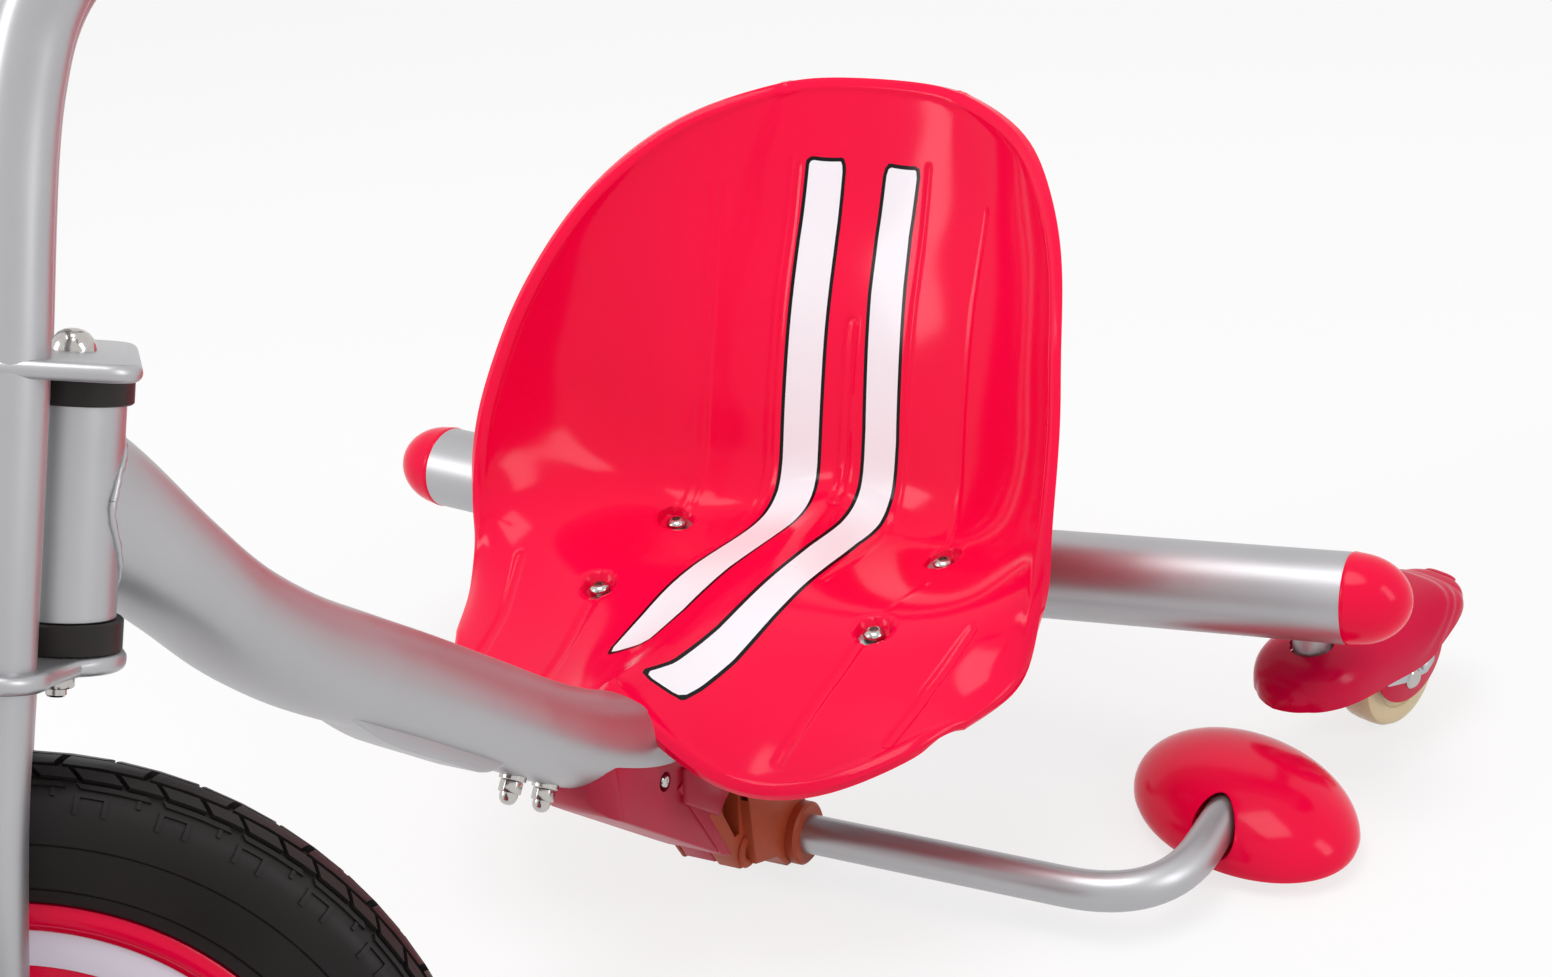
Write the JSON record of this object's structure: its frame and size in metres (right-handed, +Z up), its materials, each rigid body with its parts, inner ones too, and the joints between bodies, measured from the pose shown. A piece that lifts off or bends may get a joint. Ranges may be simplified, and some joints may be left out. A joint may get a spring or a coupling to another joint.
{
  "type": "drift trike",
  "caption": "Low drift trike with a bent-tube frame, bucket seat, pedalled front wheel, swivel casters at the rear and a sprung bar with a drag shoe.",
  "frame": {"origin": "on the floor, under the middle of the overall box, in the frame's plane of symmetry", "axes": "+X to the rider's left, +Y backward along the frame, +Z up; the front wheel faces -Y when it is straight"},
  "size_m": [0.6664, 1.0154, 0.8217],
  "materials": {
    "silver_tube": "satin silver over steel tube",
    "red_plastic": "glossy crimson",
    "dark_red_plastic": "semi-gloss dark crimson",
    "orange_plastic": "matte orange-brown",
    "black_plastic": "satin black",
    "grip_rubber": "matte black, ribbed",
    "tyre": "matte black with block tread",
    "bright_bolt": "bright plated",
    "bare_steel": "plated satin steel",
    "pale_wheel": "pale translucent urethane"
  },
  "bodies": {
    "frame": {"main_tube": "silver_tube", "rear_tube": "silver_tube", "head_tube": "silver_tube", "head_cup_lower": "black_plastic", "head_cup_upper": "black_plastic", "rear_cap_left": "red_plastic", "rear_cap_right": "red_plastic", "caster_stem_left": "silver_tube", "caster_stem_right": "silver_tube", "neck_strap": "silver_tube", "neck_nut_1": "bright_bolt", "neck_nut_2": "bright_bolt", "seat_strap_front": "bare_steel", "seat_strap_rear": "bare_steel", "seat": "red_plastic", "seat_screw_front_left": "bright_bolt", "seat_screw_front_right": "bright_bolt", "seat_screw_rear_left": "bright_bolt", "seat_screw_rear_right": "bright_bolt", "bar_housing": "dark_red_plastic"},
    "steering": {"upper_plate": "silver_tube", "lower_plate": "silver_tube", "kingpin": "bright_bolt", "kingpin_nut": "bright_bolt", "fork_leg_left": "silver_tube", "fork_leg_right": "silver_tube", "cross_tube": "silver_tube", "grip_left": "grip_rubber", "grip_right": "grip_rubber"},
    "front_wheel": {"front_tyre": "tyre", "front_rim": "red_plastic", "front_axle": "bright_bolt", "crank_left": "bare_steel", "crank_right": "bare_steel"},
    "pedal_left": {"pedal_left": "black_plastic"},
    "pedal_right": {"pedal_right": "black_plastic"},
    "drag_bar": {"bar_carrier": "orange_plastic", "bar_pivot_pin": "bright_bolt", "drag_bar": "silver_tube", "drag_shoe": "red_plastic", "drag_pad": "bare_steel"},
    "caster_left": {"caster_yoke_left": "bare_steel", "caster_axle_left": "bright_bolt", "caster_fender_left": "red_plastic"},
    "caster_wheel_left": {"caster_wheel_left": "pale_wheel"},
    "caster_right": {"caster_yoke_right": "bare_steel", "caster_axle_right": "bright_bolt", "caster_fender_right": "red_plastic"},
    "caster_wheel_right": {"caster_wheel_right": "pale_wheel"}
  },
  "joints": [
    {"name": "steer", "type": "hinge", "parent": "frame", "child": "steering", "pos_m": [0, -0.25496, 0.3907], "axis": [0, 0.3994, 0.9168], "range_deg": [-15, 109]},
    {"name": "wheel_spin", "type": "hinge", "parent": "steering", "child": "front_wheel", "pos_m": [-0.00878, -0.35048, 0.19192], "axis": [0.682, -0.6705, 0.2921], "continuous": true},
    {"name": "pedal_left_spin", "type": "hinge", "parent": "front_wheel", "child": "pedal_left", "pos_m": [0.02982, -0.28739, 0.24664], "axis": [0.682, -0.6705, 0.2921], "continuous": true},
    {"name": "pedal_right_spin", "type": "hinge", "parent": "front_wheel", "child": "pedal_right", "pos_m": [-0.04737, -0.41358, 0.1372], "axis": [0.682, -0.6705, 0.2921], "continuous": true},
    {"name": "drag_bar_press", "type": "hinge", "parent": "frame", "child": "drag_bar", "pos_m": [0, 0.15764, 0.045], "axis": [1, 0, 0], "range_deg": [-1.5, 0], "stiffness_Nm_per_rad": 40, "springref_deg": 8.59},
    {"name": "caster_left_swivel", "type": "hinge", "parent": "frame", "child": "caster_left", "pos_m": [0.266, 0.39564, 0.07], "axis": [0, 0, 1], "range_deg": [-108, 108]},
    {"name": "caster_left_roll", "type": "hinge", "parent": "caster_left", "child": "caster_wheel_left", "pos_m": [0.28857, 0.45766, 0.033], "axis": [0.9397, -0.342, 0], "continuous": true},
    {"name": "caster_right_swivel", "type": "hinge", "parent": "frame", "child": "caster_right", "pos_m": [-0.266, 0.39564, 0.07], "axis": [0, 0, 1], "continuous": true},
    {"name": "caster_right_roll", "type": "hinge", "parent": "caster_right", "child": "caster_wheel_right", "pos_m": [-0.28857, 0.45766, 0.033], "axis": [0.9397, 0.342, 0], "continuous": true}
  ]
}
